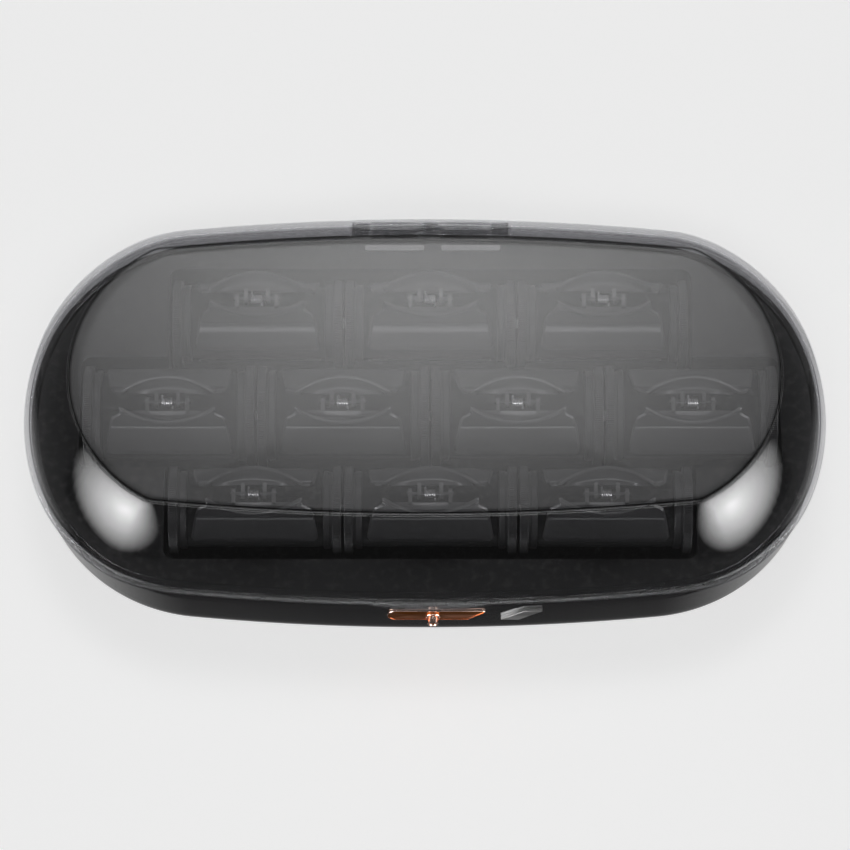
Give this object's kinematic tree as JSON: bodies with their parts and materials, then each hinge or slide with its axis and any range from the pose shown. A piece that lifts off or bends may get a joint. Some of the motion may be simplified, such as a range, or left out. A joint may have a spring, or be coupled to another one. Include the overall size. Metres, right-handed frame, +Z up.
{
  "type": "heated hair roller set",
  "caption": "Oblong heated roller case with a hinged see-through lid, rollers lying in a stepped tray and a claw clip on each roller.",
  "frame": {"origin": "middle of the bounding box at the table, under the rubber feet", "axes": "+X along the case's length, -Y the front with the power button, +Z up"},
  "size_m": [0.3052, 0.1632, 0.0753],
  "materials": {
    "base_black": "glossy black",
    "lid_smoke": "clear smoked, polished",
    "tray_black": "satin black",
    "roller_black": "satin black",
    "clip_smoke": "smoked, polished",
    "spring_steel": "bright steel",
    "pin_steel": "plain steel",
    "rose_copper": "rose copper, satin",
    "rose_bright": "bright rose gold",
    "lens_silver": "silver, fine grain",
    "heater_aluminium": "mill finish",
    "element_cream": "matt",
    "mica": "matt",
    "board_green": "solder mask",
    "switch_grey": "satin",
    "led_red": "clear red",
    "inlet_black": "satin",
    "wire_red": "insulation",
    "foot_rubber": "matt"
  },
  "bodies": {
    "case": {"base_shell": "base_black", "case_screws": "pin_steel", "rubber_feet": "foot_rubber", "hinge_pin": "pin_steel", "roller_tray": "tray_black", "heater_plate": "heater_aluminium", "heating_elements": "element_cream", "insulation_sheet": "mica", "thermostat": "element_cream", "thermal_fuse": "element_cream", "front_strip": "rose_copper", "button_bezel": "rose_bright", "button_switch": "switch_grey", "indicator_lens": "lens_silver", "indicator_led": "led_red", "circuit_board": "board_green", "power_inlet": "inlet_black", "wiring": "wire_red"},
    "lid": {"lid_shell": "lid_smoke"},
    "power_button": {"power_button": "rose_bright"},
    "roller_1": {"roller_1": "roller_black", "clip_spring_1": "spring_steel"},
    "clip_front_1": {"clip_front_1": "clip_smoke"},
    "clip_rear_1": {"clip_rear_1": "clip_smoke"},
    "roller_2": {"roller_2": "roller_black", "clip_spring_2": "spring_steel"},
    "clip_front_2": {"clip_front_2": "clip_smoke"},
    "clip_rear_2": {"clip_rear_2": "clip_smoke"},
    "roller_3": {"roller_3": "roller_black", "clip_spring_3": "spring_steel"},
    "clip_front_3": {"clip_front_3": "clip_smoke"},
    "clip_rear_3": {"clip_rear_3": "clip_smoke"},
    "roller_4": {"roller_4": "roller_black", "clip_spring_4": "spring_steel"},
    "clip_front_4": {"clip_front_4": "clip_smoke"},
    "clip_rear_4": {"clip_rear_4": "clip_smoke"},
    "roller_5": {"roller_5": "roller_black", "clip_spring_5": "spring_steel"},
    "clip_front_5": {"clip_front_5": "clip_smoke"},
    "clip_rear_5": {"clip_rear_5": "clip_smoke"},
    "roller_6": {"roller_6": "roller_black", "clip_spring_6": "spring_steel"},
    "clip_front_6": {"clip_front_6": "clip_smoke"},
    "clip_rear_6": {"clip_rear_6": "clip_smoke"},
    "roller_7": {"roller_7": "roller_black", "clip_spring_7": "spring_steel"},
    "clip_front_7": {"clip_front_7": "clip_smoke"},
    "clip_rear_7": {"clip_rear_7": "clip_smoke"},
    "roller_8": {"roller_8": "roller_black", "clip_spring_8": "spring_steel"},
    "clip_front_8": {"clip_front_8": "clip_smoke"},
    "clip_rear_8": {"clip_rear_8": "clip_smoke"},
    "roller_9": {"roller_9": "roller_black", "clip_spring_9": "spring_steel"},
    "clip_front_9": {"clip_front_9": "clip_smoke"},
    "clip_rear_9": {"clip_rear_9": "clip_smoke"},
    "roller_10": {"roller_10": "roller_black", "clip_spring_10": "spring_steel"},
    "clip_front_10": {"clip_front_10": "clip_smoke"},
    "clip_rear_10": {"clip_rear_10": "clip_smoke"}
  },
  "joints": [
    {"name": "lid_hinge", "type": "hinge", "parent": "case", "child": "lid", "pos_m": [0.002, 0.0792, 0.0356], "axis": [-1, 0, 0], "range_deg": [0, 105]},
    {"name": "power_button_press", "type": "slide", "parent": "case", "child": "power_button", "axis": [0, 1, 0], "range_m": [0, 0.0012], "stiffness_N_per_m": 400, "springref_m": -0.001},
    {"name": "roller_1_lift", "type": "slide", "parent": "case", "child": "roller_1", "axis": [0, 0, 1], "range_m": [0, 0.01]},
    {"name": "clip_front_1_open", "type": "hinge", "parent": "roller_1", "child": "clip_front_1", "pos_m": [-0.064, 0.0415, 0.0511], "axis": [-1, 0, 0], "range_deg": [0, 9], "stiffness_Nm_per_rad": 0.03, "springref_deg": -17.19},
    {"name": "clip_rear_1_open", "type": "hinge", "parent": "roller_1", "child": "clip_rear_1", "pos_m": [-0.064, 0.0415, 0.0511], "axis": [1, 0, 0], "range_deg": [0, 9], "stiffness_Nm_per_rad": 0.03, "springref_deg": -17.19},
    {"name": "roller_2_lift", "type": "slide", "parent": "case", "child": "roller_2", "axis": [0, 0, 1], "range_m": [0, 0.01]},
    {"name": "clip_front_2_open", "type": "hinge", "parent": "roller_2", "child": "clip_front_2", "pos_m": [0.002, 0.0415, 0.0511], "axis": [-1, 0, 0], "range_deg": [0, 9], "stiffness_Nm_per_rad": 0.03, "springref_deg": -17.19},
    {"name": "clip_rear_2_open", "type": "hinge", "parent": "roller_2", "child": "clip_rear_2", "pos_m": [0.002, 0.0415, 0.0511], "axis": [1, 0, 0], "range_deg": [0, 9], "stiffness_Nm_per_rad": 0.03, "springref_deg": -17.19},
    {"name": "roller_3_lift", "type": "slide", "parent": "case", "child": "roller_3", "axis": [0, 0, 1], "range_m": [0, 0.01]},
    {"name": "clip_front_3_open", "type": "hinge", "parent": "roller_3", "child": "clip_front_3", "pos_m": [0.068, 0.0415, 0.0511], "axis": [-1, 0, 0], "range_deg": [0, 9], "stiffness_Nm_per_rad": 0.03, "springref_deg": -17.19},
    {"name": "clip_rear_3_open", "type": "hinge", "parent": "roller_3", "child": "clip_rear_3", "pos_m": [0.068, 0.0415, 0.0511], "axis": [1, 0, 0], "range_deg": [0, 9], "stiffness_Nm_per_rad": 0.03, "springref_deg": -17.19},
    {"name": "roller_4_lift", "type": "slide", "parent": "case", "child": "roller_4", "axis": [0, 0, 1], "range_m": [0, 0.01]},
    {"name": "clip_front_4_open", "type": "hinge", "parent": "roller_4", "child": "clip_front_4", "pos_m": [-0.097, -0.00251, 0.05307], "axis": [-1, 0, 0], "range_deg": [0, 9], "stiffness_Nm_per_rad": 0.03, "springref_deg": -17.19},
    {"name": "clip_rear_4_open", "type": "hinge", "parent": "roller_4", "child": "clip_rear_4", "pos_m": [-0.097, -0.00251, 0.05307], "axis": [1, 0, 0], "range_deg": [0, 9], "stiffness_Nm_per_rad": 0.03, "springref_deg": -17.19},
    {"name": "roller_5_lift", "type": "slide", "parent": "case", "child": "roller_5", "axis": [0, 0, 1], "range_m": [0, 0.01]},
    {"name": "clip_front_5_open", "type": "hinge", "parent": "roller_5", "child": "clip_front_5", "pos_m": [-0.031, -0.00251, 0.05307], "axis": [-1, 0, 0], "range_deg": [0, 9], "stiffness_Nm_per_rad": 0.03, "springref_deg": -17.19},
    {"name": "clip_rear_5_open", "type": "hinge", "parent": "roller_5", "child": "clip_rear_5", "pos_m": [-0.031, -0.00251, 0.05307], "axis": [1, 0, 0], "range_deg": [0, 9], "stiffness_Nm_per_rad": 0.03, "springref_deg": -17.19},
    {"name": "roller_6_lift", "type": "slide", "parent": "case", "child": "roller_6", "axis": [0, 0, 1], "range_m": [0, 0.01]},
    {"name": "clip_front_6_open", "type": "hinge", "parent": "roller_6", "child": "clip_front_6", "pos_m": [0.035, -0.00251, 0.05307], "axis": [-1, 0, 0], "range_deg": [0, 9], "stiffness_Nm_per_rad": 0.03, "springref_deg": -17.19},
    {"name": "clip_rear_6_open", "type": "hinge", "parent": "roller_6", "child": "clip_rear_6", "pos_m": [0.035, -0.00251, 0.05307], "axis": [1, 0, 0], "range_deg": [0, 9], "stiffness_Nm_per_rad": 0.03, "springref_deg": -17.19},
    {"name": "roller_7_lift", "type": "slide", "parent": "case", "child": "roller_7", "axis": [0, 0, 1], "range_m": [0, 0.01]},
    {"name": "clip_front_7_open", "type": "hinge", "parent": "roller_7", "child": "clip_front_7", "pos_m": [0.101, -0.00251, 0.05307], "axis": [-1, 0, 0], "range_deg": [0, 9], "stiffness_Nm_per_rad": 0.03, "springref_deg": -17.19},
    {"name": "clip_rear_7_open", "type": "hinge", "parent": "roller_7", "child": "clip_rear_7", "pos_m": [0.101, -0.00251, 0.05307], "axis": [1, 0, 0], "range_deg": [0, 9], "stiffness_Nm_per_rad": 0.03, "springref_deg": -17.19},
    {"name": "roller_8_lift", "type": "slide", "parent": "case", "child": "roller_8", "axis": [0, 0, 1], "range_m": [0, 0.01]},
    {"name": "clip_front_8_open", "type": "hinge", "parent": "roller_8", "child": "clip_front_8", "pos_m": [-0.064, -0.03913, 0.05094], "axis": [-1, 0, 0], "range_deg": [0, 9], "stiffness_Nm_per_rad": 0.03, "springref_deg": -17.19},
    {"name": "clip_rear_8_open", "type": "hinge", "parent": "roller_8", "child": "clip_rear_8", "pos_m": [-0.064, -0.03913, 0.05094], "axis": [1, 0, 0], "range_deg": [0, 9], "stiffness_Nm_per_rad": 0.03, "springref_deg": -17.19},
    {"name": "roller_9_lift", "type": "slide", "parent": "case", "child": "roller_9", "axis": [0, 0, 1], "range_m": [0, 0.01]},
    {"name": "clip_front_9_open", "type": "hinge", "parent": "roller_9", "child": "clip_front_9", "pos_m": [0.002, -0.03913, 0.05094], "axis": [-1, 0, 0], "range_deg": [0, 9], "stiffness_Nm_per_rad": 0.03, "springref_deg": -17.19},
    {"name": "clip_rear_9_open", "type": "hinge", "parent": "roller_9", "child": "clip_rear_9", "pos_m": [0.002, -0.03913, 0.05094], "axis": [1, 0, 0], "range_deg": [0, 9], "stiffness_Nm_per_rad": 0.03, "springref_deg": -17.19},
    {"name": "roller_10_lift", "type": "slide", "parent": "case", "child": "roller_10", "axis": [0, 0, 1], "range_m": [0, 0.01]},
    {"name": "clip_front_10_open", "type": "hinge", "parent": "roller_10", "child": "clip_front_10", "pos_m": [0.068, -0.03913, 0.05094], "axis": [-1, 0, 0], "range_deg": [0, 9], "stiffness_Nm_per_rad": 0.03, "springref_deg": -17.19},
    {"name": "clip_rear_10_open", "type": "hinge", "parent": "roller_10", "child": "clip_rear_10", "pos_m": [0.068, -0.03913, 0.05094], "axis": [1, 0, 0], "range_deg": [0, 9], "stiffness_Nm_per_rad": 0.03, "springref_deg": -17.19}
  ],
  "couplings": [
    {"joint": "clip_rear_1_open", "follows": "clip_front_1_open", "ratio": 1},
    {"joint": "clip_rear_2_open", "follows": "clip_front_2_open", "ratio": 1},
    {"joint": "clip_rear_3_open", "follows": "clip_front_3_open", "ratio": 1},
    {"joint": "clip_rear_4_open", "follows": "clip_front_4_open", "ratio": 1},
    {"joint": "clip_rear_5_open", "follows": "clip_front_5_open", "ratio": 1},
    {"joint": "clip_rear_6_open", "follows": "clip_front_6_open", "ratio": 1},
    {"joint": "clip_rear_7_open", "follows": "clip_front_7_open", "ratio": 1},
    {"joint": "clip_rear_8_open", "follows": "clip_front_8_open", "ratio": 1},
    {"joint": "clip_rear_9_open", "follows": "clip_front_9_open", "ratio": 1},
    {"joint": "clip_rear_10_open", "follows": "clip_front_10_open", "ratio": 1}
  ]
}
